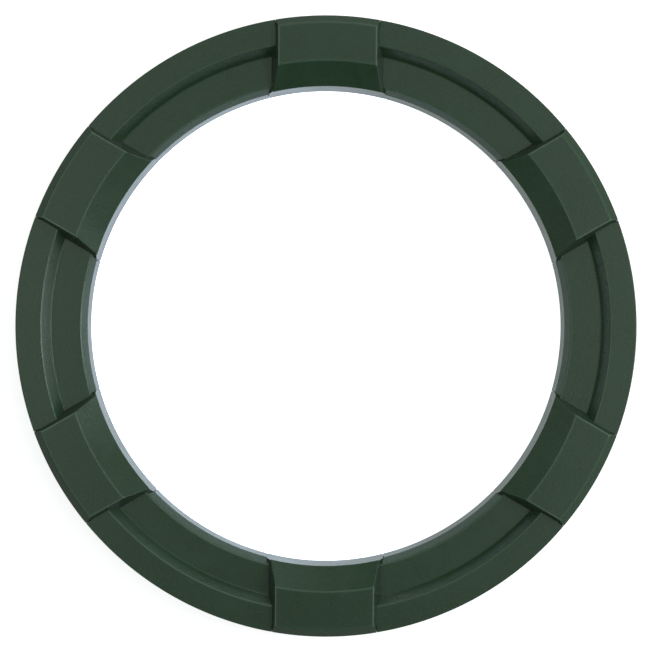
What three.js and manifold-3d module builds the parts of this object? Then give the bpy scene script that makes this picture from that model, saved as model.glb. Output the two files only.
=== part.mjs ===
// Knock-down wreath ring in moulded plastic.
//
// Six arc segments butt end to end to make the ring. Their ends are rebated, and six raised joint caps drop over
// the butt joints, flush with the segments on the outside and in the bore. One self-tapping screw goes up through
// each segment end into a boss in the cap.
//
// Millimetres, +Z up. The origin is the ring's centre at the level of the surface it lies on.
// Segment 1 is centred on +X, cap 1 stands at 30 degrees, and both repeat every 60 degrees.

import * as THREE from "three";
import { mergeVertices } from "three/addons/utils/BufferGeometryUtils.js";
import Module from "manifold-3d";

// ---- driving dimensions -------------------------------------------------------------------------------------

const COUNT = 6;              // segments, and caps
const PITCH = 360 / COUNT;    // degrees from one cap to the next
const FACETS = 120;           // facets in a full turn, 3 degrees each

const R_OUT = 177.5;          // outer radius
const R_IN = 137.3;           // radius of the central opening
const Z_RIM = 27.5;           // flat outer rim
const Z_SHELF = 21.5;         // flat inner shelf
const Z_LIP = 17.2;           // foot of the bevelled inner lip
const R_RIM_IN = 162.85;      // inner edge of the rim
const R_STEP = 157.8;         // foot of the sloping step
const R_SHELF_IN = 140.8;     // inner edge of the shelf

const Z_CAP = 32.0;           // flat top of a cap
const R_CAP_OUT = 173.0;      // outer edge of a cap's flat top
const R_CAP_IN = 151.3;       // inner edge of a cap's flat top
const Z_CAP_IN = 24.3;        // foot of a cap's inner slope
const CAP_HALF = 28.1;        // half width of a cap's flat top
const CAP_LEAN = 0.39;        // a cap's side moves out this much for each mm down

const WALL = 2.5;             // segment wall
const SKIN = 2.4;             // cap wall
const GAP = 0.3;              // clearance between neighbouring pieces
const FOOT_RAISE = 3.0;       // ribs stop this far above the base
const RIB = 2.2;              // rib thickness
const RIB_ANGLE = 5.5;        // ribs stand this many degrees either side of a segment's middle

const SCREW_R = 149.0;        // distance of the screws from the ring's axis, along the cap's middle line
const SCREW_U = 15.0;         // distance of the screws from the cap's middle line
const BOSS_R = 4.2;
const PILOT_R = 1.75;
const PILOT_TOP = 27.5;
const CLEAR_R = 2.1;
const SHANK_R = 1.45;
const SHANK_TOP = 26.8;
const HEAD_R = 3.6;
const HEAD_H = 2.4;

const Z_LOW = -1;             // cutters start below the base
const FAR = 400;

// ---- solids ---------------------------------------------------------------------------------------------------

const wasm = await Module();
wasm.setup();

function toSolid(geometry) {
  const g = geometry.clone();
  for (const name of Object.keys(g.attributes)) if (name !== "position") g.deleteAttribute(name);
  const merged = mergeVertices(g, 1e-4);
  const p = merged.attributes.position.array;
  const idx = merged.index.array;
  const tri = [];
  let volume = 0;
  for (let i = 0; i < idx.length; i += 3) {
    const [a, b, c] = [idx[i], idx[i + 1], idx[i + 2]];
    if (a === b || b === c || c === a) continue;
    tri.push(a, b, c);
    const [ax, ay, az, bx, by, bz, cx, cy, cz] =
      [p[3 * a], p[3 * a + 1], p[3 * a + 2], p[3 * b], p[3 * b + 1], p[3 * b + 2], p[3 * c], p[3 * c + 1], p[3 * c + 2]];
    volume += ax * (by * cz - bz * cy) + ay * (bz * cx - bx * cz) + az * (bx * cy - by * cx);
  }
  if (volume < 0) for (let i = 0; i < tri.length; i += 3) [tri[i + 1], tri[i + 2]] = [tri[i + 2], tri[i + 1]];
  return new wasm.Manifold(new wasm.Mesh({
    numProp: 3,
    vertProperties: new Float32Array(p),
    triVerts: new Uint32Array(tri),
  }));
}

function toGeometry(solid) {
  const mesh = solid.getMesh();
  const g = new THREE.BufferGeometry();
  g.setAttribute("position", new THREE.BufferAttribute(new Float32Array(mesh.vertProperties), 3));
  g.setIndex(new THREE.BufferAttribute(new Uint32Array(mesh.triVerts), 1));
  return g;
}

// A closed (radius, height) outline turned once round the vertical axis.
function ring(outline) {
  const pts = outline.map(([r, z]) => new THREE.Vector2(r, z));
  pts.push(pts[0].clone());
  return toSolid(new THREE.LatheGeometry(pts, FACETS).rotateX(Math.PI / 2));
}

// A (radius, height) outline that starts and ends on the axis, turned once round it.
function turned(outline, sides, x = 0, y = 0) {
  const pts = outline.map(([r, z]) => new THREE.Vector2(r, z));
  return toSolid(new THREE.LatheGeometry(pts, sides).rotateX(Math.PI / 2).translate(x, y, 0));
}

// An (across, height) outline made long in the radial direction, along +X.
function radialPrism(outline, x0 = 60, x1 = 220) {
  const shape = new THREE.Shape(outline.map(([u, z]) => new THREE.Vector2(u, z)));
  const g = new THREE.ExtrudeGeometry(shape, { depth: x1 - x0, bevelEnabled: false });
  g.applyMatrix4(new THREE.Matrix4().makeBasis(
    new THREE.Vector3(0, 1, 0), new THREE.Vector3(0, 0, 1), new THREE.Vector3(1, 0, 0)));
  g.translate(x0, 0, 0);
  return toSolid(g);
}

// A plan (x, y) outline made tall.
function tallPrism(outline, z0 = Z_LOW, z1 = 60) {
  const shape = new THREE.Shape(outline.map(([x, y]) => new THREE.Vector2(x, y)));
  const g = new THREE.ExtrudeGeometry(shape, { depth: z1 - z0, bevelEnabled: false });
  g.translate(0, 0, z0);
  return toSolid(g);
}

// A run of straight lines moved sideways by t, to the left of its direction. The ends stay upright and reach zEnd.
function offsetRun(run, t, zEnd) {
  const lines = [];
  for (let i = 0; i + 1 < run.length; i++) {
    const [x0, y0] = run[i];
    const [x1, y1] = run[i + 1];
    const len = Math.hypot(x1 - x0, y1 - y0);
    const nx = -(y1 - y0) / len;
    const ny = (x1 - x0) / len;
    lines.push({ nx, ny, d: nx * (x0 + nx * t) + ny * (y0 + ny * t) });
  }
  const out = [[run[0][0] + lines[0].nx * t, zEnd]];
  for (let i = 0; i + 1 < lines.length; i++) {
    const [a, b] = [lines[i], lines[i + 1]];
    const det = a.nx * b.ny - a.ny * b.nx;
    out.push([(a.d * b.ny - b.d * a.ny) / det, (a.nx * b.d - b.nx * a.d) / det]);
  }
  const last = lines[lines.length - 1];
  out.push([run[run.length - 1][0] + last.nx * t, zEnd]);
  return out;
}

// The wedge of plan between the two radial lines 30 degrees either side of +X, each moved in by t.
function wedge(t, z0, z1) {
  const half = THREE.MathUtils.degToRad(PITCH / 2);
  const apex = t / Math.sin(half);
  const dx = FAR * Math.cos(half);
  const dy = FAR * Math.sin(half);
  return tallPrism([[apex, 0], [apex + dx, -dy], [apex + dx, dy]], z0, z1);
}

// The space between a cap's two leaning sides, moved out by t. Below the lip the sides are upright.
function betweenSides(t) {
  const zTop = 40;
  const foot = CAP_HALF + CAP_LEAN * (Z_CAP - Z_LIP) + t;
  const top = CAP_HALF + CAP_LEAN * (Z_CAP - zTop) + t;
  return radialPrism([[-foot, Z_LOW], [foot, Z_LOW], [foot, Z_LIP], [top, zTop], [-top, zTop], [-foot, Z_LIP]]);
}

// ---- outlines, from the foot of the outer wall over the top to the foot of the inner wall -----------------------

const segmentRun = [
  [R_OUT, 0], [R_OUT, Z_RIM], [R_RIM_IN, Z_RIM], [R_STEP, Z_SHELF], [R_SHELF_IN, Z_SHELF], [R_IN, Z_LIP], [R_IN, 0],
];
const capRun = [
  [R_OUT, 0], [R_OUT, Z_RIM], [R_CAP_OUT, Z_CAP], [R_CAP_IN, Z_CAP], [R_IN, Z_CAP_IN], [R_IN, 0],
];

// A segment's end under a cap: the same section, set in at both walls by the cap's skirts.
const R_END_OUT = R_OUT - SKIN - GAP;
const R_END_IN = R_IN + SKIN + GAP;
const lipSlope = (Z_SHELF - Z_LIP) / (R_SHELF_IN - R_IN);
const END_BEVEL = 1.2;
const endRun = [
  [R_END_OUT, 0], [R_END_OUT, Z_RIM - END_BEVEL], [R_END_OUT - END_BEVEL, Z_RIM], [R_RIM_IN, Z_RIM],
  [R_STEP, Z_SHELF], [R_SHELF_IN, Z_SHELF], [R_END_IN, Z_SHELF - lipSlope * (R_SHELF_IN - R_END_IN)], [R_END_IN, 0],
];

const CAP_HALF_RIM = CAP_HALF + CAP_LEAN * (Z_CAP - Z_RIM);   // half width where a cap's side meets the rim
const CAP_HALF_LIP = CAP_HALF + CAP_LEAN * (Z_CAP - Z_LIP);   // half width where it meets the foot of the lip

// ---- arc segment ------------------------------------------------------------------------------------------------

function makeSegment() {
  let solid = ring(segmentRun).intersect(wedge(GAP / 2));

  // main hollow, open below, between the two cross walls at the rebates
  const crossWall = CAP_HALF_LIP + GAP;
  let hollow = ring(offsetRun(segmentRun, WALL, Z_LOW)).intersect(wedge(crossWall + WALL));
  for (const side of [-1, 1]) {
    const rib = radialPrism([[-RIB / 2, FOOT_RAISE], [RIB / 2, FOOT_RAISE], [RIB / 2, 60], [-RIB / 2, 60]])
      .rotate([0, 0, side * RIB_ANGLE]);
    hollow = hollow.subtract(rib);
  }
  solid = solid.subtract(hollow);

  // both ends, worked in the cap's own frame and turned into place
  const outerRing = ring([
    [R_END_OUT, Z_LOW], [R_END_OUT, Z_RIM - END_BEVEL], [R_END_OUT - END_BEVEL, Z_RIM],
    [R_END_OUT - END_BEVEL, Z_RIM + 5], [R_OUT + 5, Z_RIM + 5], [R_OUT + 5, Z_LOW],
  ]);
  const half = CAP_HALF_RIM + GAP;
  const outerRebate = outerRing.intersect(radialPrism([[-half, Z_LOW], [half, Z_LOW], [half, 60], [-half, 60]]));
  const innerRebate = ring([[R_IN - 5, Z_LOW], [R_IN - 5, Z_RIM], [R_END_IN, Z_RIM], [R_END_IN, Z_LOW]])
    .intersect(betweenSides(GAP));
  const endHollow = ring(offsetRun(endRun, WALL, Z_LOW));
  for (const side of [-1, 1]) {
    // seen from the cap at this end, the segment runs off towards -side
    const u0 = -side * (WALL + GAP / 2);
    const u1 = -side * crossWall;
    const [lo, hi] = [Math.min(u0, u1), Math.max(u0, u1)];
    const pocket = endHollow.intersect(radialPrism([[lo, -2], [hi, -2], [hi, 60], [lo, 60]]));
    const hole = turned([[0, Z_LOW], [CLEAR_R, Z_LOW], [CLEAR_R, 40], [0, 40]], 12, SCREW_R, -side * SCREW_U);
    for (const cutter of [outerRebate, innerRebate, pocket, hole]) {
      solid = solid.subtract(cutter.rotate([0, 0, side * PITCH / 2]));
    }
  }
  return toGeometry(solid);
}

// ---- joint cap --------------------------------------------------------------------------------------------------

function makeCap() {
  const body = ring(capRun).intersect(betweenSides(0));
  const cavity = ring(offsetRun(capRun, SKIN, Z_LOW)).intersect(betweenSides(-SKIN));
  const passage = ring(offsetRun(endRun, -GAP, Z_LOW));
  const beside = ring([[R_RIM_IN + 5, Z_LOW], [R_RIM_IN + 5, Z_RIM + GAP], [R_OUT + 5, Z_RIM + GAP], [R_OUT + 5, Z_LOW]])
    .subtract(radialPrism([[-CAP_HALF_RIM, -2], [CAP_HALF_RIM, -2], [CAP_HALF_RIM, 60], [-CAP_HALF_RIM, 60]]));
  let solid = body.subtract(cavity).subtract(passage).subtract(beside);
  for (const side of [-1, 1]) {
    const z0 = Z_SHELF + GAP;
    const boss = turned([[0, z0], [BOSS_R, z0], [BOSS_R, Z_CAP + 2], [0, Z_CAP + 2]], 16, SCREW_R, side * SCREW_U);
    const pilot = turned([[0, z0 - 2], [PILOT_R, z0 - 2], [PILOT_R, PILOT_TOP], [0, PILOT_TOP]], 12, SCREW_R, side * SCREW_U);
    solid = solid.add(boss.intersect(body)).subtract(pilot);
  }
  return toGeometry(solid);
}

// ---- pan-head self-tapping screw, head down ---------------------------------------------------------------------

function makeScrew() {
  const seat = Z_SHELF - WALL - GAP;
  const low = seat - HEAD_H;
  let solid = turned([
    [0, low], [HEAD_R * 0.62, low], [HEAD_R * 0.92, low + HEAD_H * 0.36], [HEAD_R, low + HEAD_H * 0.75], [HEAD_R, seat],
    [SHANK_R, seat], [SHANK_R, SHANK_TOP - 1.6], [0, SHANK_TOP],
  ], 12);
  for (const turn of [0, 90]) {
    const blade = tallPrism([[-2.0, -0.42], [2.0, -0.42], [2.0, 0.42], [-2.0, 0.42]], low - 1, low + 1.3)
      .rotate([0, 0, turn]);
    solid = solid.subtract(blade);
  }
  return toGeometry(solid);
}

// ---- assembly -----------------------------------------------------------------------------------------------------

const wreathFrame = new THREE.Group();
wreathFrame.name = "wreath_frame";

const segmentGeometry = makeSegment();
const capGeometry = makeCap();
const screwGeometry = makeScrew();

function place(name, geometry, angle, colour, roughness, metalness) {
  const mesh = new THREE.Mesh(geometry, new THREE.MeshStandardMaterial({ color: colour, roughness, metalness }));
  mesh.name = name;
  mesh.rotation.z = THREE.MathUtils.degToRad(angle);
  wreathFrame.add(mesh);
  return mesh;
}

for (let k = 1; k <= COUNT; k++) {
  const segmentAngle = (k - 1) * PITCH;
  const capAngle = segmentAngle + PITCH / 2;
  place(`arc_segment_${k}`, segmentGeometry, segmentAngle, 0x3a5141, 0.45, 0.0);
  place(`joint_cap_${k}`, capGeometry, capAngle, 0x35493b, 0.45, 0.0);
  for (const [letter, side] of [["a", -1], ["b", 1]]) {
    const screw = place(`cap_screw_${k}${letter}`, screwGeometry, capAngle, 0xb9bcc0, 0.35, 0.9);
    screw.position.set(SCREW_R, side * SCREW_U, 0)
      .applyAxisAngle(new THREE.Vector3(0, 0, 1), THREE.MathUtils.degToRad(capAngle));
  }
}

export default wreathFrame;
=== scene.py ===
"""Looks for a knock-down wreath ring: six arc segments, six joint caps and twelve screws, in moulded green plastic.

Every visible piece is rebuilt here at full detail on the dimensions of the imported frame. Lengths are in millimetres
in the helpers and become metres when a mesh is made.
"""

import math

import bmesh
import bpy
import numpy as np
from mathutils import Matrix, Vector


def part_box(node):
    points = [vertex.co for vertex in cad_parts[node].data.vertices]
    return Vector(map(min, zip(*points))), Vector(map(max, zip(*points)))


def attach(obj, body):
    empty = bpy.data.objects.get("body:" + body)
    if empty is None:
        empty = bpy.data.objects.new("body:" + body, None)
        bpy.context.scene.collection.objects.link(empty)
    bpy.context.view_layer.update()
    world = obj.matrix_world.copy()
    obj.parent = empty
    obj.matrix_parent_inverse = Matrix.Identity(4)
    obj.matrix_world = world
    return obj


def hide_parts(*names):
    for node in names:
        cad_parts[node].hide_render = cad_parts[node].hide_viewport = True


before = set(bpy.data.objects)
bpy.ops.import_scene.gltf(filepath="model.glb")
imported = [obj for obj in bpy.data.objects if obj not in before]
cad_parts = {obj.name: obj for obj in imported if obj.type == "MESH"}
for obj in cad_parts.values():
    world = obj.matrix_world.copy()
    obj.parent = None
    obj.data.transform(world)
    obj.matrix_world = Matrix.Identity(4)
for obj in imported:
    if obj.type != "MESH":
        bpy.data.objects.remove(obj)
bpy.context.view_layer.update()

# ---- dimensions, in millimetres, as in the frame ------------------------------------------------------------------

R_OUT = 1000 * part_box("arc_segment_1")[1].x          # outer radius
Z_RIM = 1000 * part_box("arc_segment_1")[1].z          # flat outer rim
Z_CAP = 1000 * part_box("joint_cap_1")[1].z            # flat top of a cap
R_IN = 137.3
Z_SHELF = 21.5
Z_LIP = 17.2
R_RIM_IN = 162.85
R_STEP = 157.8
R_SHELF_IN = 140.8
R_CAP_OUT = 173.0
R_CAP_IN = 151.3
Z_CAP_IN = 24.3
CAP_HALF = 28.1
CAP_LEAN = 0.39
WALL = 2.5
SKIN = 2.4
GAP = 0.2                                            # visible clearance between neighbours
FOOT_RAISE = 3.0
RIB = 2.2
RIB_ANGLE = 5.5
SCREW_R = 149.0
SCREW_U = 15.0
COUNT = 6
PITCH = 360 / COUNT

R_END_OUT = R_OUT - SKIN - 0.3
R_END_IN = R_IN + SKIN + 0.3
END_BEVEL = 1.2


def cap_half(z, off=0.0):
    """Half width of a cap at height z. Its sides lean above the foot of the lip and are upright below it."""
    return CAP_HALF + CAP_LEAN * (Z_CAP - max(z, Z_LIP)) + off


# ---- outlines ------------------------------------------------------------------------------------------------------

segment_run = [(R_OUT, 0), (R_OUT, Z_RIM), (R_RIM_IN, Z_RIM), (R_STEP, Z_SHELF), (R_SHELF_IN, Z_SHELF), (R_IN, Z_LIP), (R_IN, 0)]
cap_run = [(R_OUT, 0), (R_OUT, Z_RIM), (R_CAP_OUT, Z_CAP), (R_CAP_IN, Z_CAP), (R_IN, Z_CAP_IN), (R_IN, 0)]
lip_slope = (Z_SHELF - Z_LIP) / (R_SHELF_IN - R_IN)
end_run = [(R_END_OUT, 0), (R_END_OUT, Z_RIM - END_BEVEL), (R_END_OUT - END_BEVEL, Z_RIM), (R_RIM_IN, Z_RIM),
           (R_STEP, Z_SHELF), (R_SHELF_IN, Z_SHELF), (R_END_IN, Z_SHELF - lip_slope * (R_SHELF_IN - R_END_IN)), (R_END_IN, 0)]

pocket_run = [(R_END_OUT, 0), (R_END_OUT, Z_RIM), (R_RIM_IN, Z_RIM), (R_STEP, Z_SHELF), (R_END_IN, Z_SHELF), (R_END_IN, 0)]


def offset_run(run, t, z_end):
    """The run moved sideways by t, to the left of its direction, with upright ends that reach z_end."""
    lines = []
    for (x0, y0), (x1, y1) in zip(run, run[1:]):
        n = math.hypot(x1 - x0, y1 - y0)
        nx, ny = -(y1 - y0) / n, (x1 - x0) / n
        lines.append((nx, ny, nx * (x0 + nx * t) + ny * (y0 + ny * t)))
    out = [(run[0][0] + lines[0][0] * t, z_end)]
    for (ax, ay, ad), (bx, by, bd) in zip(lines, lines[1:]):
        det = ax * by - ay * bx
        out.append(((ad * by - bd * ay) / det, (ax * bd - bx * ad) / det))
    out.append((run[-1][0] + lines[-1][0] * t, z_end))
    return out


def rounded(outline, radii, step=9.0, support=0.45, pitch=5.0):
    """A closed outline with its corners rounded: arcs of about step degrees a facet, a support point just outside each arc,
    and points no more than pitch apart along the straights."""
    n = len(outline)
    corners = []
    for i in range(n):
        p0, p, p1 = (np.array(outline[j % n], float) for j in (i - 1, i, i + 1))
        a, b = (p0 - p), (p1 - p)
        la, lb = np.linalg.norm(a), np.linalg.norm(b)
        a, b = a / la, b / lb
        r = radii[i]
        turn = math.pi - math.acos(max(-1, min(1, float(a @ b))))
        if r <= 0 or turn < 1e-4:
            corners.append([p])
            continue
        t = r * math.tan(turn / 2)
        t = min(t, 0.45 * la, 0.45 * lb)
        r = t / math.tan(turn / 2)
        bis = (a + b) / np.linalg.norm(a + b)
        c = p + bis * (r / math.cos(turn / 2))
        s, e = p + a * t, p + b * t
        k = max(2, int(math.ceil(math.degrees(turn) / step)))
        vs, ve = s - c, e - c
        ang = math.acos(max(-1, min(1, float(vs @ ve) / (r * r))))
        arc = [c + (math.sin((1 - f) * ang) * vs + math.sin(f * ang) * ve) / math.sin(ang) for f in np.linspace(0, 1, k + 1)]
        corners.append(arc)
    pts = []
    for i in range(n):
        pts.extend(corners[i])
        s, e = corners[i][-1], corners[(i + 1) % n][0]
        d = e - s
        length = float(np.linalg.norm(d))
        if length < 1e-6:
            pts.pop()
            continue
        u = d / length
        marks = []
        if length > 3 * support:
            marks = [support]
            inner = length - 2 * support
            k = max(1, int(math.ceil(inner / pitch)))
            marks += [support + inner * f for f in np.linspace(0, 1, k + 1)[1:]]
        pts.extend(s + u * m for m in marks)
    return [(float(x), float(y)) for x, y in pts]


def with_height(outline, z):
    """The closed outline with a point added wherever it crosses height z."""
    out = []
    n = len(outline)
    for i in range(n):
        (r0, z0), (r1, z1) = outline[i], outline[(i + 1) % n]
        out.append((r0, z0))
        if (z0 - z) * (z1 - z) < 0 and min(abs(z0 - z), abs(z1 - z)) > 1e-6:
            f = (z - z0) / (z1 - z0)
            out.append((r0 + f * (r1 - r0), z))
    return out


# ---- meshes --------------------------------------------------------------------------------------------------------

def volume_sign(verts, faces):
    total = 0.0
    for f in faces:
        a = verts[f[0]]
        for i in range(1, len(f) - 1):
            total += float(np.dot(a, np.cross(verts[f[i]], verts[f[i + 1]])))
    return total


def make_mesh(name, verts, faces):
    verts = np.asarray(verts, float)
    if volume_sign(verts, faces) < 0:
        faces = [tuple(reversed(f)) for f in faces]
    mesh = bpy.data.meshes.new(name)
    mesh.from_pydata([tuple(v) for v in verts * 0.001], [], faces)
    mesh.validate()
    return mesh


def make_object(name, verts, faces):
    ob = bpy.data.objects.new(name, make_mesh(name, verts, faces))
    bpy.context.scene.collection.objects.link(ob)
    return ob


def sector(outline, lo, hi, columns):
    """The closed (radius, height) outline swept round the vertical axis from lo(r, z) to hi(r, z), in radians."""
    m = len(outline)
    fr = np.linspace(0, 1, columns + 1)
    verts = []
    for f in fr:
        for r, z in outline:
            th = lo(r, z) * (1 - f) + hi(r, z) * f
            verts.append((r * math.cos(th), r * math.sin(th), z))
    faces = []
    for j in range(columns):
        for k in range(m):
            k1 = (k + 1) % m
            faces.append((j * m + k, j * m + k1, (j + 1) * m + k1, (j + 1) * m + k))
    faces.append(tuple(reversed(range(m))))
    faces.append(tuple(columns * m + k for k in range(m)))
    return verts, faces


def at(phi_deg, off):
    """A limit for sector(): the line parallel to the radial line at phi, off millimetres to its left."""
    phi = math.radians(phi_deg)
    return lambda r, z: phi + math.asin(off / r)


def block(x0, x1, y0, y1, z0, z1):
    v = [(x, y, z) for x in (x0, x1) for y in (y0, y1) for z in (z0, z1)]
    f = [(0, 1, 3, 2), (4, 6, 7, 5), (0, 4, 5, 1), (2, 3, 7, 6), (0, 2, 6, 4), (1, 5, 7, 3)]
    return v, f


def rod(x, y, r, z0, z1, sides=40, top=None):
    """An upright round rod. top(x, y) gives the height of each point of a sloping top."""
    v, f = [], []
    for i in range(sides):
        a = 2 * math.pi * i / sides
        px, py = x + r * math.cos(a), y + r * math.sin(a)
        v.append((px, py, z0))
        v.append((px, py, top(px, py) if top else z1))
    for i in range(sides):
        j = (i + 1) % sides
        f.append((2 * i, 2 * j, 2 * j + 1, 2 * i + 1))
    f.append(tuple(2 * i for i in reversed(range(sides))))
    f.append(tuple(2 * i + 1 for i in range(sides)))
    return v, f


def turned_about(vf, degrees):
    v, f = vf
    c, s = math.cos(math.radians(degrees)), math.sin(math.radians(degrees))
    return [(c * x - s * y, s * x + c * y, z) for x, y, z in v], f


def joined(*parts):
    """Several closed shells as one list of vertices and faces, each facing out."""
    verts, faces = [], []
    for v, f in parts:
        if volume_sign(np.asarray(v, float), f) < 0:
            f = [tuple(reversed(x)) for x in f]
        base = len(verts)
        verts.extend(v)
        faces.extend(tuple(i + base for i in x) for x in f)
    return verts, faces


def boolean(ob, vf, operation):
    cutter = make_object("cutter", *joined(*vf))
    mod = ob.modifiers.new("cut", "BOOLEAN")
    mod.operation = operation
    mod.solver = "MANIFOLD"
    mod.object = cutter
    settle(ob)
    old = cutter.data
    bpy.data.objects.remove(cutter)
    bpy.data.meshes.remove(old)


def settle(ob):
    """Applies the object's modifiers to its mesh."""
    bpy.context.view_layer.update()
    dg = bpy.context.evaluated_depsgraph_get()
    new = bpy.data.meshes.new_from_object(ob.evaluated_get(dg))
    old = ob.data
    ob.modifiers.clear()
    ob.data = new
    bpy.data.meshes.remove(old)


def bevel_where(ob, test, width, segments=2):
    """Rounds the convex edges whose two ends both pass test(x, y, z), in millimetres."""
    bm = bmesh.new()
    bm.from_mesh(ob.data)
    edges = []
    for e in bm.edges:
        if len(e.link_faces) != 2 or not e.is_convex:
            continue
        if e.calc_face_angle(0.0) < math.radians(35):
            continue
        if all(test(*(v.co * 1000)) for v in e.verts):
            edges.append(e)
    if edges:
        bmesh.ops.bevel(bm, geom=edges, offset=width * 0.001, offset_type="OFFSET", segments=segments, profile=0.5,
                        affect="EDGES", clamp_overlap=True)
    bm.to_mesh(ob.data)
    bm.free()
    return len(edges)


def finish_mesh(ob, angle=32.0):
    """Merges stray points, marks the sharp edges and smooths the rest."""
    bm = bmesh.new()
    bm.from_mesh(ob.data)
    bmesh.ops.remove_doubles(bm, verts=bm.verts, dist=2e-6)
    bmesh.ops.dissolve_degenerate(bm, dist=2e-6, edges=bm.edges)
    bmesh.ops.recalc_face_normals(bm, faces=bm.faces)
    for f in bm.faces:
        f.smooth = True
    for e in bm.edges:
        e.smooth = len(e.link_faces) == 2 and e.calc_face_angle(0.0) < math.radians(angle)
    bm.to_mesh(ob.data)
    bm.free()
    mod = ob.modifiers.new("normals", "WEIGHTED_NORMAL")
    mod.mode = "FACE_AREA"
    mod.weight = 50
    mod.keep_sharp = True
    settle(ob)


# ---- arc segment ---------------------------------------------------------------------------------------------------

def build_segment():
    outline = rounded(segment_run, [0.4, 0.6, 1.6, 1.2, 1.5, 0.7, 0.4])
    half = PITCH / 2
    ob = make_object("segment", *sector(outline, at(-half, 0.1), at(half, -0.1), 80))

    cross = cap_half(0) + 0.3
    hollow = offset_run(segment_run, WALL, -1)
    cutters = [sector(hollow, at(-half, cross + WALL), at(-RIB_ANGLE, -RIB / 2), 20),
               sector(hollow, at(-RIB_ANGLE, RIB / 2), at(RIB_ANGLE, -RIB / 2), 14),
               sector(hollow, at(RIB_ANGLE, RIB / 2), at(half, -cross - WALL), 20)]
    for side in (-1, 1):
        w = cap_half(Z_RIM) + GAP
        corner = [(R_END_OUT, -1), (R_END_OUT, Z_RIM - END_BEVEL), (R_END_OUT - END_BEVEL, Z_RIM), (R_END_OUT - END_BEVEL, Z_RIM + 2),
                  (R_OUT + 4, Z_RIM + 2), (R_OUT + 4, -1)]
        bore = with_height([(R_IN - 4, -1), (R_IN - 4, Z_RIM), (R_END_IN, Z_RIM), (R_END_IN, -1)], Z_LIP)

        def near(r, z, side=side):
            return side * math.asin(4 / r)

        def outer_far(r, z, side=side, w=w):
            return -side * math.asin(w / r)

        def inner_far(r, z, side=side):
            return -side * math.asin(cap_half(z, GAP) / r)

        cutters.append(turned_about(sector(corner, near, outer_far, 20), side * half))
        cutters.append(turned_about(sector(bore, near, inner_far, 24), side * half))
        pocket = offset_run(pocket_run, WALL, -1)
        cutters.append(turned_about(sector(pocket, at(0, -side * (WALL + 0.15)), at(0, -side * cross), 18), side * half))
    boolean(ob, cutters, "DIFFERENCE")

    holes = [turned_about(rod(SCREW_R, -side * SCREW_U, 2.1, 10, 30), side * half) for side in (-1, 1)]
    boolean(ob, holes, "DIFFERENCE")

    # the ribs stop short of the table
    foot = [(R_OUT - WALL - 0.5, -1), (R_OUT - WALL - 0.5, FOOT_RAISE), (R_IN + WALL + 0.5, FOOT_RAISE), (R_IN + WALL + 0.5, -1)]
    boolean(ob, [sector(foot, at(-RIB_ANGLE, -3), at(-RIB_ANGLE, 3), 3), sector(foot, at(RIB_ANGLE, -3), at(RIB_ANGLE, 3), 3)],
            "DIFFERENCE")

    # the upright edges where a segment's wall stops beside a cap
    def beside(x, y, z):
        r = math.hypot(x, y)
        for side in (-1, 1):
            a = math.radians(side * half)
            u = abs(-math.sin(a) * x + math.cos(a) * y)
            if r > R_OUT - 0.6 and z < Z_RIM - 0.5 and abs(u - cap_half(Z_RIM) - GAP) < 0.01:
                return True
            if r < R_IN + 0.6 and z < Z_LIP + 3 and abs(u - cap_half(z, GAP)) < 0.02:
                return True
        return False

    bevel_where(ob, beside, 0.25)
    finish_mesh(ob)
    return ob


# ---- joint cap -----------------------------------------------------------------------------------------------------

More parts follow.
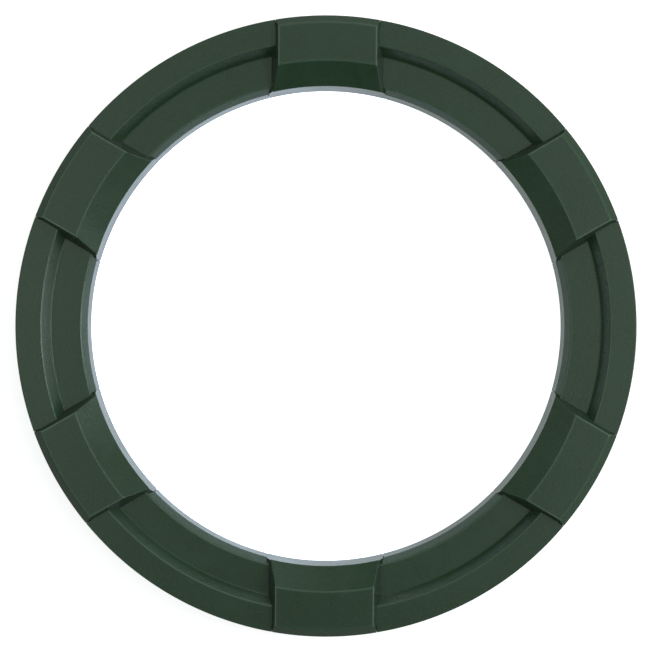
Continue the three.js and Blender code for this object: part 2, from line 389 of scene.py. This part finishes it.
def cap_shell(outline, rho, arc=5, columns=30):
    """The cap's outer form, with its long side edges rounded to radius rho."""
    m = len(outline)
    pts = np.array(outline)
    nxt = np.roll(pts, -1, axis=0) - pts
    prv = pts - np.roll(pts, 1, axis=0)

    def unit(v):
        return v / np.linalg.norm(v)

    verts, per_row = [], 2 * (arc + 1) + columns - 1
    for k in range(m):
        r, z = outline[k]
        roll = rho * min(1.0, 0.5 + z / 6)                       # smaller at the base, where the outline's own fillet is small
        # the outline runs up the outer wall and back over the top, so its right-hand side faces out
        t = unit(unit(nxt[k]) + unit(prv[k]))
        nr, nz = t[1], -t[0]
        w = cap_half(z)
        th = math.asin(w / r)
        e = np.array([r * math.cos(th), w, z])
        n1 = np.array([nr * math.cos(th), nr * math.sin(th), nz])
        n2 = unit(np.array([0.0, 1.0, CAP_LEAN])) if z > Z_LIP + 1e-6 else np.array([0.0, 1.0, 0.0])
        phi = math.acos(max(-1, min(1, float(n1 @ n2))))
        tau = unit(np.cross(n1, n2))
        t1, t2 = np.cross(n1, tau), np.cross(tau, n2)
        if t1 @ n2 > 0:
            t1 = -t1
        if t2 @ n1 > 0:
            t2 = -t2
        c = e - (n1 + n2) / np.linalg.norm(n1 + n2) * (roll / math.cos(phi / 2))
        side = []
        for f in np.linspace(0, 1, arc + 1):                     # from the skin to the side
            v = (math.sin((1 - f) * phi) * n1 + math.sin(f * phi) * n2) / math.sin(phi)
            side.append(c + roll * v)
        th1 = math.atan2(side[0][1], side[0][0])
        r1 = math.hypot(side[0][0], side[0][1])
        z1 = side[0][2]
        row = [p * np.array([1, -1, 1]) for p in reversed(side)]
        edge = 0.5 / r1                                          # a support column beside each edge
        stations = [-(th1 - edge)] + list(np.linspace(-(th1 - edge), th1 - edge, columns - 1)[1:-1]) + [th1 - edge]
        for a in stations:
            f = min(1.0, (th1 - abs(a)) / edge)                  # ease the row back onto the true outline
            rr, zz = r1 + (r - r1) * f, z1 + (z - z1) * f
            row.append(np.array([rr * math.cos(a), rr * math.sin(a), zz]))
        row.extend(side)
        verts.extend(row)
    per_row = len(verts) // m
    faces = []
    for k in range(m):
        k1 = (k + 1) % m
        for j in range(per_row - 1):
            faces.append((k * per_row + j, k * per_row + j + 1, k1 * per_row + j + 1, k1 * per_row + j))
    turn = [k for k in range(m) if abs(outline[k][1] - Z_LIP) < 1e-6]
    k_out = max(turn, key=lambda k: outline[k][0])
    k_in = min(turn, key=lambda k: outline[k][0])
    upper = [k % m for k in range(k_out, k_in + 1)]
    lower = [k % m for k in range(k_in, k_out + m + 1)]
    for j in (0, per_row - 1):
        for chain in (upper, lower):
            f = [k * per_row + j for k in chain]
            faces.append(tuple(f) if j == 0 else tuple(reversed(f)))
    return verts, faces


def build_cap():
    outline = rounded(cap_run, [0.4, 0.7, 1.4, 2.0, 0.7, 0.4])
    outline = with_height(outline, Z_LIP)
    verts, faces = cap_shell(outline, 0.6)
    ob = make_object("cap", verts, faces)
    bm = bmesh.new()
    bm.from_mesh(ob.data)
    bmesh.ops.recalc_face_normals(bm, faces=bm.faces)
    bm.to_mesh(ob.data)
    bm.free()

    cavity = with_height(offset_run(cap_run, SKIN, -1), Z_LIP)

    def inside(sign):
        return lambda r, z: sign * math.asin(cap_half(z, -SKIN) / r)

    boolean(ob, [sector(cavity, inside(-1), inside(1), 24)], "DIFFERENCE")
    passage = rounded(offset_run(end_run, -GAP, -1), [0, 0, 0, 1.8, 1.0, 1.7, 0, 0])
    boolean(ob, [sector(passage, lambda r, z: -0.40, lambda r, z: 0.40, 60)], "DIFFERENCE")
    w = cap_half(Z_RIM)
    boolean(ob, [block(165.5, 190, w, 60, -2, Z_RIM + GAP), block(165.5, 190, -60, -w, -2, Z_RIM + GAP)], "DIFFERENCE")

    def under_skin(x, y):
        r = math.hypot(x, y)
        z = Z_CAP if r > R_CAP_IN else Z_CAP_IN + (Z_CAP - Z_CAP_IN) * (r - R_IN) / (R_CAP_IN - R_IN)
        return z - 1.3

    boolean(ob, [rod(SCREW_R, s * SCREW_U, 4.2, Z_SHELF + GAP, 0, 40, under_skin) for s in (-1, 1)], "UNION")
    boolean(ob, [rod(SCREW_R, s * SCREW_U, 1.6, Z_SHELF - 3, 27.5, 32) for s in (-1, 1)], "DIFFERENCE")

    def skirt_edge(x, y, z):
        return math.hypot(x, y) > R_OUT - 0.6 and z < Z_RIM - 0.2 and abs(abs(y) - w) < 0.01

    bevel_where(ob, skirt_edge, 0.3)
    finish_mesh(ob)
    return ob


# ---- screw ---------------------------------------------------------------------------------------------------------

def build_screw():
    """A pan-head self-tapping screw, head down, on its own axis."""
    seat = Z_SHELF - WALL - 0.05
    low, tip = seat - 2.4, 26.9
    sides, pitch = 48, 1.25
    rows = []                                                    # (radius, height, thread depth)
    rows += [(0.35, low + 0.02, 0), (1.2, low + 0.03, 0), (2.1, low + 0.16, 0), (2.75, low + 0.5, 0), (3.2, low + 0.98, 0),
             (3.46, low + 1.5, 0), (3.56, low + 1.95, 0), (3.58, seat - 0.16, 0), (3.5, seat - 0.04, 0), (3.36, seat, 0),
             (2.4, seat, 0), (1.5, seat, 0), (1.28, seat + 0.08, 0), (1.12, seat + 0.3, 0)]
    steps = 84
    z0, z1 = seat + 0.45, tip - 0.25
    for i in range(steps + 1):
        z = z0 + (z1 - z0) * i / steps
        taper = min(1.0, (tip - z) / 2.4) ** 0.8
        fade = min(1.0, (z - z0) / 0.7)
        rows.append((1.12 * taper, z, 0.38 * fade * taper ** 0.5))
    rows.append((0.05, tip, 0))
    verts = [(0, 0, low)]
    for r, z, depth in rows:
        for i in range(sides):
            a = 2 * math.pi * i / sides
            phase = (z / pitch - i / sides) % 1.0
            ridge = max(0.0, 1 - abs(phase - 0.5) / 0.26)
            rr = r + depth * ridge
            verts.append((rr * math.cos(a), rr * math.sin(a), z))
    verts.append((0, 0, tip + 0.02))
    faces = []
    n = len(rows)
    for i in range(sides):
        j = (i + 1) % sides
        faces.append((0, 1 + j, 1 + i))
        faces.append((len(verts) - 1, 1 + (n - 1) * sides + i, 1 + (n - 1) * sides + j))
    for k in range(n - 1):
        for i in range(sides):
            j = (i + 1) % sides
            a, b = 1 + k * sides, 1 + (k + 1) * sides
            faces.append((a + i, a + j, b + j, b + i))
    ob = make_object("screw", verts, faces)
    arms = []
    for turn in (0, 90):
        v, f = block(-1.75, 1.75, -0.36, 0.36, low - 1, low + 1.35)
        # the recess narrows as it goes in
        v = [(x * (1 - 0.30 * (z > low)), y * (1 - 0.25 * (z > low)), z) for x, y, z in v]
        arms.append(turned_about((v, f), turn))
    boolean(ob, [arms[0]], "DIFFERENCE")
    boolean(ob, [arms[1]], "DIFFERENCE")
    finish_mesh(ob, 40)
    return ob


# ---- materials -----------------------------------------------------------------------------------------------------

def node(tree, kind, where=(0, 0), **sockets):
    n = tree.nodes.new(kind)
    n.location = where
    for key, value in sockets.items():
        n.inputs[key.replace("_", " ")].default_value = value
    return n


def plastic(name, dark, light, seed, rings, is_cap, roughness=0.28):
    """Satin moulded plastic: fine even grain, faint flow mottling, and a painted highlight along the edges, which are
    painted lighter and made glossier.
    rings are the (radius, height) of the edges that run round the object."""
    mat = bpy.data.materials.new(name)
    mat.use_nodes = True
    t = mat.node_tree
    t.nodes.clear()
    out = node(t, "ShaderNodeOutputMaterial", (900, 0))
    bsdf = node(t, "ShaderNodeBsdfPrincipled", (600, 0))
    bsdf.inputs["Metallic"].default_value = 0.0
    bsdf.inputs["IOR"].default_value = 1.5
    bsdf.inputs["Specular IOR Level"].default_value = 0.43
    t.links.new(bsdf.outputs["BSDF"], out.inputs["Surface"])

    coord = node(t, "ShaderNodeTexCoord", (-1200, 0))
    place = node(t, "ShaderNodeMapping", (-1000, 0))
    place.inputs["Location"].default_value = (seed * 0.137, seed * 0.071, seed * 0.053)
    t.links.new(coord.outputs["Object"], place.inputs["Vector"])

    def noise(scale, detail, rough, where, distortion=0.0):
        n = node(t, "ShaderNodeTexNoise", where)
        n.inputs["Scale"].default_value = scale
        n.inputs["Detail"].default_value = detail
        n.inputs["Roughness"].default_value = rough
        n.inputs["Distortion"].default_value = distortion
        t.links.new(place.outputs["Vector"], n.inputs["Vector"])
        return n

    mottle = noise(55.0, 4.0, 0.55, (-700, 300), 0.4)
    grain = noise(950.0, 3.0, 0.6, (-700, 0))
    pores = node(t, "ShaderNodeTexVoronoi", (-700, -300))
    pores.inputs["Scale"].default_value = 620.0
    pores.inputs["Randomness"].default_value = 1.0
    t.links.new(place.outputs["Vector"], pores.inputs["Vector"])

    # colour: broad mottling, with the grain showing as a slight speckle
    ramp = node(t, "ShaderNodeValToRGB", (-450, 300))
    ramp.color_ramp.elements[0].position = 0.3
    ramp.color_ramp.elements[0].color = (*dark, 1)
    ramp.color_ramp.elements[1].position = 0.7
    ramp.color_ramp.elements[1].color = (*light, 1)
    t.links.new(mottle.outputs["Fac"], ramp.inputs["Fac"])
    speck = node(t, "ShaderNodeMapRange", (-450, 60))
    speck.inputs["From Min"].default_value = 0.3
    speck.inputs["From Max"].default_value = 0.7
    speck.inputs["To Min"].default_value = 0.86
    speck.inputs["To Max"].default_value = 1.14
    t.links.new(grain.outputs["Fac"], speck.inputs["Value"])
    tint = node(t, "ShaderNodeVectorMath", (-200, 250))
    tint.operation = "SCALE"
    t.links.new(ramp.outputs["Color"], tint.inputs[0])
    t.links.new(speck.outputs["Result"], tint.inputs["Scale"])

    def remap(value, x0, x1, y0, y1, where):
        n = node(t, "ShaderNodeMapRange", where)
        for key, v in (("From Min", x0), ("From Max", x1), ("To Min", y0), ("To Max", y1)):
            n.inputs[key].default_value = v
        t.links.new(value, n.inputs["Value"])
        return n.outputs["Result"]

    def maths(operation, first, second, where, third=None):
        n = node(t, "ShaderNodeMath", where)
        n.operation = operation
        for i, v in enumerate((first, second, third)):
            if v is None:
                continue
            if isinstance(v, (int, float)):
                n.inputs[i].default_value = v
            else:
                t.links.new(v, n.inputs[i])
        return n.outputs["Value"]

    # where a point is: its radius, its height, and how upright its face is
    geo = node(t, "ShaderNodeNewGeometry", (-1600, 800))
    facing = node(t, "ShaderNodeSeparateXYZ", (-1400, 900))
    t.links.new(geo.outputs["True Normal"], facing.inputs["Vector"])
    upright = maths("ABSOLUTE", facing.outputs["Z"], None, (-1200, 900))
    spot = node(t, "ShaderNodeSeparateXYZ", (-1400, 600))
    t.links.new(coord.outputs["Object"], spot.inputs["Vector"])
    flat = node(t, "ShaderNodeVectorMath", (-1400, 750))
    flat.operation = "MULTIPLY"
    flat.inputs[1].default_value = (1, 1, 0)
    t.links.new(coord.outputs["Object"], flat.inputs[0])
    radius = node(t, "ShaderNodeVectorMath", (-1200, 750))
    radius.operation = "LENGTH"
    t.links.new(flat.outputs["Vector"], radius.inputs[0])
    profile = node(t, "ShaderNodeCombineXYZ", (-1000, 700))
    t.links.new(radius.outputs["Value"], profile.inputs["X"])
    t.links.new(spot.outputs["Z"], profile.inputs["Z"])

    # painted highlight: a narrow band along each edge is painted lighter, and made glossier
    highlight_and_gloss_band = None
    for i, (r, z) in enumerate(rings):
        away = node(t, "ShaderNodeVectorMath", (-800, 700 + 150 * i))
        away.operation = "DISTANCE"
        away.inputs[1].default_value = (r * 0.001, 0, z * 0.001)
        t.links.new(profile.outputs["Vector"], away.inputs[0])
        band = remap(away.outputs["Value"], 0.0009, 0.0004, 0.0, 0.6, (-600, 700 + 150 * i))
        highlight_and_gloss_band = band if highlight_and_gloss_band is None else maths("MAXIMUM", highlight_and_gloss_band, band, (-400, 700 + 150 * i))
    finish = None
    if is_cap:
        # the cap's long top side edges get the same painted highlight
        turn = maths("ARCTAN2", spot.outputs["Y"], spot.outputs["X"], (-1200, 1100))
        swing = maths("SUBTRACT", math.radians(PITCH / 2), maths("PINGPONG", turn, math.radians(PITCH / 2), (-1000, 1100)), (-800, 1100))
        across = maths("MULTIPLY", radius.outputs["Value"], maths("SINE", swing, None, (-600, 1100)), (-400, 1100))
        side = maths("MULTIPLY", remap(across, (CAP_HALF - 1.0) * 0.001, (CAP_HALF - 0.6) * 0.001, 0.0, 1.0, (-200, 1100)),
                     remap(spot.outputs["Z"], (Z_CAP - 0.7) * 0.001, (Z_CAP - 0.3) * 0.001, 0.0, 1.0, (-200, 1300)), (0, 1100))
        highlight_and_gloss_band = maths("MAXIMUM", highlight_and_gloss_band, side, (200, 1100))
        # the outer bevel is blasted duller than the rest
        finish = maths("MULTIPLY", remap(radius.outputs["Value"], (R_CAP_OUT - 0.2) * 0.001, (R_CAP_OUT + 0.4) * 0.001, 0.0, 1.0, (-200, 1500)),
                       remap(facing.outputs["Z"], 0.45, 0.6, 0.0, 1.0, (-200, 1700)), (0, 1500))
        t.links.new(maths("MULTIPLY_ADD", finish, -0.28, (300, 1500), 0.43), bsdf.inputs["Specular IOR Level"])

    # painted light: the steep faces are painted a paler grey, by how far they tilt
    painted_wall_tone = maths("MULTIPLY", remap(upright, 0.2, 0.3, 0.0, 0.35, (-400, 400)), remap(upright, 0.42, 0.55, 1.0, 0.0, (-400, 500)), (-200, 450))
    painted_wall_mix = node(t, "ShaderNodeMix", (0, 250))
    painted_wall_mix.data_type = "RGBA"
    painted_wall_mix.inputs[7].default_value = (0.055, 0.053, 0.050, 1)
    t.links.new(painted_wall_tone, painted_wall_mix.inputs[0])
    t.links.new(tint.outputs["Vector"], painted_wall_mix.inputs[6])
    # painted highlight: the edge band is painted a paler, bluer green
    edge = node(t, "ShaderNodeMix", (50, 300))
    edge.data_type = "RGBA"
    edge.inputs[7].default_value = (light[0] * 3.0, light[1] * 2.2, light[2] * 3.0, 1)
    t.links.new(highlight_and_gloss_band, edge.inputs[0])
    t.links.new(painted_wall_mix.outputs[2], edge.inputs[6])
    t.links.new(edge.outputs[2], bsdf.inputs["Base Color"])

    # gloss varies with the grain and the mottling
    rough = node(t, "ShaderNodeMapRange", (50, 0))
    rough.inputs["To Min"].default_value = roughness - 0.03
    rough.inputs["To Max"].default_value = roughness + 0.04
    rough.inputs["From Min"].default_value = 0.3
    rough.inputs["From Max"].default_value = 0.7
    t.links.new(mottle.outputs["Fac"], rough.inputs["Value"])
    sheen = node(t, "ShaderNodeMath", (300, 100))
    sheen.operation = "MULTIPLY_ADD"
    sheen.inputs[1].default_value = -0.15
    t.links.new(highlight_and_gloss_band, sheen.inputs[0])
    t.links.new(rough.outputs["Result"], sheen.inputs[2])
    # the upright walls carry a coarser texture than the faces
    wall = remap(upright, 0.0, 0.3, 0.24, 0.0, (-50, 800))
    gloss = node(t, "ShaderNodeMath", (450, 200))
    gloss.operation = "ADD"
    t.links.new(sheen.outputs["Value"], gloss.inputs[0])
    t.links.new(wall, gloss.inputs[1])
    t.links.new(gloss.outputs["Value"], bsdf.inputs["Roughness"])

    # height: even spark-eroded grain, plus a trace of pitting
    low = node(t, "ShaderNodeMath", (-450, -300))
    low.operation = "MULTIPLY"
    low.inputs[1].default_value = 0.3
    t.links.new(pores.outputs["Distance"], low.inputs[0])
    total = node(t, "ShaderNodeMath", (-200, -150))
    total.operation = "ADD"
    t.links.new(grain.outputs["Fac"], total.inputs[0])
    t.links.new(low.outputs["Value"], total.inputs[1])
    bump = node(t, "ShaderNodeBump", (300, -250))
    bump.inputs["Strength"].default_value = 0.55
    bump.inputs["Distance"].default_value = 0.00012
    t.links.new(total.outputs["Value"], bump.inputs["Height"])
    t.links.new(bump.outputs["Normal"], bsdf.inputs["Normal"])
    return mat


def zinc(name, seed):
    """Bright zinc plate on a cold-headed screw: fine turned marks, cloudy passivate, a little dulling."""
    mat = bpy.data.materials.new(name)
    mat.use_nodes = True
    t = mat.node_tree
    t.nodes.clear()
    out = node(t, "ShaderNodeOutputMaterial", (700, 0))
    bsdf = node(t, "ShaderNodeBsdfPrincipled", (400, 0))
    bsdf.inputs["Metallic"].default_value = 1.0
    t.links.new(bsdf.outputs["BSDF"], out.inputs["Surface"])
    coord = node(t, "ShaderNodeTexCoord", (-900, 0))
    place = node(t, "ShaderNodeMapping", (-700, 0))
    place.inputs["Location"].default_value = (seed * 0.031, seed * 0.017, 0)
    t.links.new(coord.outputs["Object"], place.inputs["Vector"])
    cloud = node(t, "ShaderNodeTexNoise", (-450, 150))
    cloud.inputs["Scale"].default_value = 420.0
    cloud.inputs["Detail"].default_value = 4.0
    t.links.new(place.outputs["Vector"], cloud.inputs["Vector"])
    ramp = node(t, "ShaderNodeValToRGB", (-200, 150))
    ramp.color_ramp.elements[0].color = (0.50, 0.51, 0.50, 1)
    ramp.color_ramp.elements[1].color = (0.78, 0.79, 0.81, 1)
    ramp.color_ramp.elements[0].position = 0.3
    ramp.color_ramp.elements[1].position = 0.65
    t.links.new(cloud.outputs["Fac"], ramp.inputs["Fac"])
    t.links.new(ramp.outputs["Color"], bsdf.inputs["Base Color"])
    rough = node(t, "ShaderNodeMapRange", (-200, -50))
    rough.inputs["To Min"].default_value = 0.22
    rough.inputs["To Max"].default_value = 0.42
    t.links.new(cloud.outputs["Fac"], rough.inputs["Value"])
    t.links.new(rough.outputs["Result"], bsdf.inputs["Roughness"])
    fine = node(t, "ShaderNodeTexNoise", (-450, -250))
    fine.inputs["Scale"].default_value = 2600.0
    t.links.new(place.outputs["Vector"], fine.inputs["Vector"])
    bump = node(t, "ShaderNodeBump", (100, -250))
    bump.inputs["Strength"].default_value = 0.3
    bump.inputs["Distance"].default_value = 0.00003
    t.links.new(fine.outputs["Fac"], bump.inputs["Height"])
    t.links.new(bump.outputs["Normal"], bsdf.inputs["Normal"])
    return mat


# ---- assembly ------------------------------------------------------------------------------------------------------

def copy_turned(source, name, matrix):
    mesh = source.data.copy()
    mesh.name = name
    mesh.transform(matrix)
    ob = bpy.data.objects.new(name, mesh)
    bpy.context.scene.collection.objects.link(ob)
    return ob


def settle_piece(ob, material, cad_node):
    ob.data.materials.clear()
    ob.data.materials.append(material)
    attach(ob, "root")
    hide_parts(cad_node)


segment, cap, screw = build_segment(), build_cap(), build_screw()
green_segment = plastic("segment_plastic_visual", (0.0185, 0.0460, 0.0200), (0.0210, 0.0510, 0.0230), 1,
                        ((R_RIM_IN, Z_RIM), (R_SHELF_IN, Z_SHELF)), False)
green_cap = plastic("cap_plastic_visual", (0.0180, 0.0450, 0.0195), (0.0205, 0.0500, 0.0225), 7,
                    ((R_CAP_OUT, Z_CAP), (R_CAP_IN, Z_CAP)), True)
zinc_plate = zinc("screw_steel_visual", 3)

for k in range(1, COUNT + 1):
    a_seg, a_cap = (k - 1) * PITCH, (k - 0.5) * PITCH
    piece = copy_turned(segment, f"segment_{k}_moulding", Matrix.Rotation(math.radians(a_seg), 4, "Z"))
    settle_piece(piece, green_segment, f"arc_segment_{k}")
    piece = copy_turned(cap, f"cap_{k}_moulding", Matrix.Rotation(math.radians(a_cap), 4, "Z"))
    settle_piece(piece, green_cap, f"joint_cap_{k}")
    for letter, side, n in (("a", -1, 0), ("b", 1, 1)):
        spin = (37.0 * (2 * k + n)) % 90                          # each recess stops at its own angle
        m = (Matrix.Rotation(math.radians(a_cap), 4, "Z") @ Matrix.Translation((SCREW_R * 0.001, side * SCREW_U * 0.001, 0))
             @ Matrix.Rotation(math.radians(spin), 4, "Z"))
        piece = copy_turned(screw, f"screw_{k}{letter}_zinc", m)
        settle_piece(piece, zinc_plate, f"cap_screw_{k}{letter}")

for source in (segment, cap, screw):
    mesh = source.data
    bpy.data.objects.remove(source)
    bpy.data.meshes.remove(mesh)

# ---- floor, light and camera ---------------------------------------------------------------------------------------

GLOW = 0.71                                          # at the sheet round the object
GLOW_CORE = 1.2                                      # added inside the ring, at its brightest side

bm = bmesh.new()
bmesh.ops.create_grid(bm, x_segments=8, y_segments=8, size=3.0)
floor_mesh = bpy.data.meshes.new("floor")
bm.to_mesh(floor_mesh)
bm.free()
floor = bpy.data.objects.new("floor", floor_mesh)
floor.location = (0, 0, -0.0003)
bpy.context.scene.collection.objects.link(floor)
paper = bpy.data.materials.new("floor_paper")
paper.use_nodes = True
pb = paper.node_tree.nodes["Principled BSDF"]
pb.inputs["Base Color"].default_value = (0.86, 0.86, 0.86, 1)
pb.inputs["Roughness"].default_value = 0.8
pb.inputs["Specular IOR Level"].default_value = 0.2
# the sheet is lit from below round the object, as on a light table, and fades to plain paper beyond it
pt = paper.node_tree
pool_coord = node(pt, "ShaderNodeTexCoord", (-1000, -200))
pool_radius = node(pt, "ShaderNodeVectorMath", (-800, -200))
pool_radius.operation = "LENGTH"
pt.links.new(pool_coord.outputs["Object"], pool_radius.inputs[0])
rings = []
for label, near, far, strength in (("pool", 0.26, 0.62, GLOW), ("core", 0.135, 0.155, GLOW_CORE)):
    ring = node(pt, "ShaderNodeMapRange", (-600, -200 - 300 * len(rings)))
    ring.name = label
    ring.interpolation_type = "SMOOTHSTEP"
    ring.inputs["From Min"].default_value = near
    ring.inputs["From Max"].default_value = far
    ring.inputs["To Min"].default_value = strength
    ring.inputs["To Max"].default_value = 0.0
    pt.links.new(pool_radius.outputs["Value"], ring.inputs["Value"])
    rings.append(ring)
# inside the ring the glow grows towards one side, and is cooler
lean = node(pt, "ShaderNodeVectorMath", (-800, -800))
lean.operation = "DOT_PRODUCT"
lean.inputs[1].default_value = (math.cos(math.radians(183)), math.sin(math.radians(183)), 0)
pt.links.new(pool_coord.outputs["Object"], lean.inputs[0])
slant = node(pt, "ShaderNodeMapRange", (-600, -800))
slant.interpolation_type = "SMOOTHSTEP"
slant.inputs["From Min"].default_value = -0.075
slant.inputs["From Max"].default_value = 0.035
slant.inputs["To Min"].default_value = 0.16
slant.inputs["To Max"].default_value = 1.0
pt.links.new(lean.outputs["Value"], slant.inputs["Value"])
core = node(pt, "ShaderNodeMath", (-400, -600))
core.operation = "MULTIPLY"
pt.links.new(rings[1].outputs["Result"], core.inputs[0])
pt.links.new(slant.outputs["Result"], core.inputs[1])
glow = []
for source, tint in ((rings[0].outputs["Result"], (1, 1, 1)), (core.outputs["Value"], (0.92, 1.03, 1.42))):
    scaled = node(pt, "ShaderNodeVectorMath", (-300, -300 - 200 * len(glow)))
    scaled.operation = "SCALE"
    scaled.inputs[0].default_value = tint
    pt.links.new(source, scaled.inputs["Scale"])
    glow.append(scaled)
pool_sum = node(pt, "ShaderNodeVectorMath", (-100, -300))
pool_sum.operation = "ADD"
pt.links.new(glow[0].outputs["Vector"], pool_sum.inputs[0])
pt.links.new(glow[1].outputs["Vector"], pool_sum.inputs[1])
pb.inputs["Emission Strength"].default_value = 1.0
pt.links.new(pool_sum.outputs["Vector"], pb.inputs["Emission Color"])
floor_mesh.materials.append(paper)


def soft_box(azimuth, elevation, watts, colour, size=1.0):
    """A round soft box, 1.8 m from the middle of the ring and facing it."""
    a, e = math.radians(azimuth), math.radians(elevation)
    data = bpy.data.lights.new(f"soft_box_{azimuth:.0f}_{elevation:.0f}", "AREA")
    data.shape = "DISK"
    data.size = size
    data.energy = watts
    data.color = colour
    ob = bpy.data.objects.new(data.name, data)
    ob.location = (1.8 * math.cos(e) * math.cos(a), 1.8 * math.cos(e) * math.sin(a), 1.8 * math.sin(e))
    ob.rotation_euler = (-ob.location).to_track_quat("-Z", "Y").to_euler()
    bpy.context.scene.collection.objects.link(ob)
    return ob


COOL, MILD = (0.86, 0.97, 1.0), (0.93, 1.0, 0.98)
for azimuth, elevation, watts, colour in (
        (0, 15, 7.6, COOL), (45, 15, 1.2, COOL), (90, 15, 3.8, MILD), (180, 15, 0.6, MILD),
        (22.5, 40, 0.6, MILD), (67.5, 40, 2.2, MILD), (157.5, 40, 0.7, MILD), (202.5, 40, 0.3, MILD), (337.5, 40, 0.9, COOL),
        (0, 65, 1.8, MILD), (45, 65, 1.7, MILD), (90, 65, 1.1, MILD), (135, 65, 1.25, MILD), (180, 65, 2.7, MILD),
        (225, 65, 0.9, MILD), (315, 65, 1.6, MILD)):
    soft_box(azimuth, elevation, watts, colour)
soft_box(2, 50, 5.4, COOL, 0.4)                           # small and hard, for the bright lines along the left edges

world = bpy.data.worlds.new("studio")
world.use_nodes = True
world.node_tree.nodes["Background"].inputs["Color"].default_value = (1, 1, 1, 1)
world.node_tree.nodes["Background"].inputs["Strength"].default_value = 0.10
bpy.context.scene.world = world

camera_data = bpy.data.cameras.new("camera")
camera_data.sensor_width = 36.0
camera_data.lens = 36.0 * 1.1 / 0.38185
camera_data.clip_end = 20
camera = bpy.data.objects.new("camera", camera_data)
camera.location = (0, 0, 1.1)
camera.rotation_euler = (0, 0, math.radians(0.33))
bpy.context.scene.collection.objects.link(camera)
bpy.context.scene.camera = camera
bpy.context.scene.view_settings.view_transform = "Standard"
